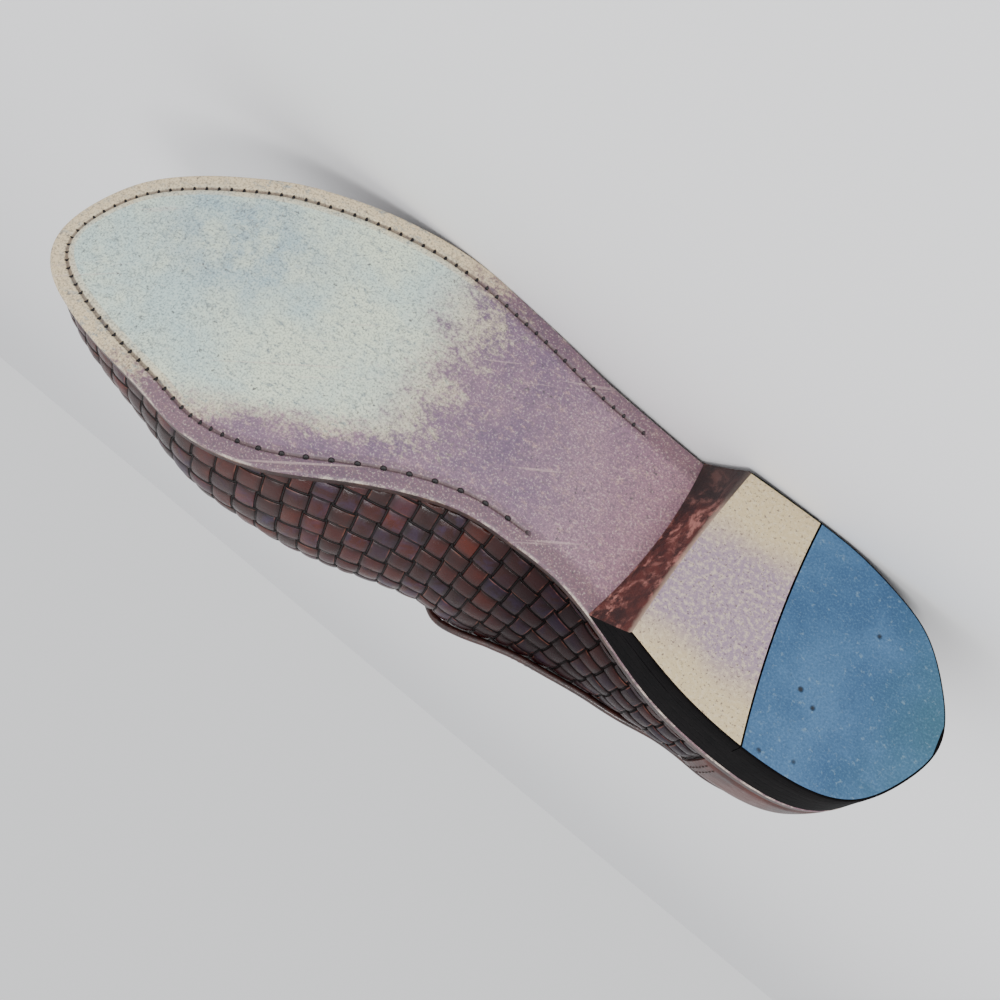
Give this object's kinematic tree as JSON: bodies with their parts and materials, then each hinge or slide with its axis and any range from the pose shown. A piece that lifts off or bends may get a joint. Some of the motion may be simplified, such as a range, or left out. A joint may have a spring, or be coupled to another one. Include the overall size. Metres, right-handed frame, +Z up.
{
  "type": "tassel loafer",
  "caption": "Woven leather slip-on shoe for the left foot, with a leather outsole, a stacked heel and an open collar, lying on its outer side.",
  "frame": {"origin": "centre of the bounding box, on the floor that the shoe lies on", "axes": "+X runs from heel to toe along the floor, +Z is up with the big-toe side on top, and the tread faces -Y"},
  "size_m": [0.2994, 0.089, 0.105],
  "materials": {
    "apron_seam": "satin brown calf",
    "collar_binding": "satin brown calf",
    "collar_lace": "rolled brown leather thong",
    "heel_patch": "smooth glossy brown calf",
    "heel_stack": "black-burnished stacked leather",
    "heel_top_leather": "worn pale leather",
    "heel_top_rubber": "matte blue rubber",
    "insole": "smooth tan leather",
    "lace_end": "rolled brown leather thong",
    "lace_knot": "rolled brown leather thong",
    "outsole": "worn oak-tan leather outsole, grey-mauve",
    "tassel": "cut brown leather strips",
    "upper": "woven dark brown calf, satin"
  },
  "bodies": {
    "root": {"apron_seam": "apron_seam", "collar_binding": "collar_binding", "collar_lace": "collar_lace", "heel_patch": "heel_patch", "heel_stack": "heel_stack", "heel_top_leather": "heel_top_leather", "heel_top_rubber": "heel_top_rubber", "insole": "insole", "lace_end_front": "lace_end", "lace_end_rear": "lace_end", "lace_knot": "lace_knot", "outsole": "outsole", "tassel_front": "tassel", "tassel_rear": "tassel", "upper": "upper"}
  },
  "joints": []
}
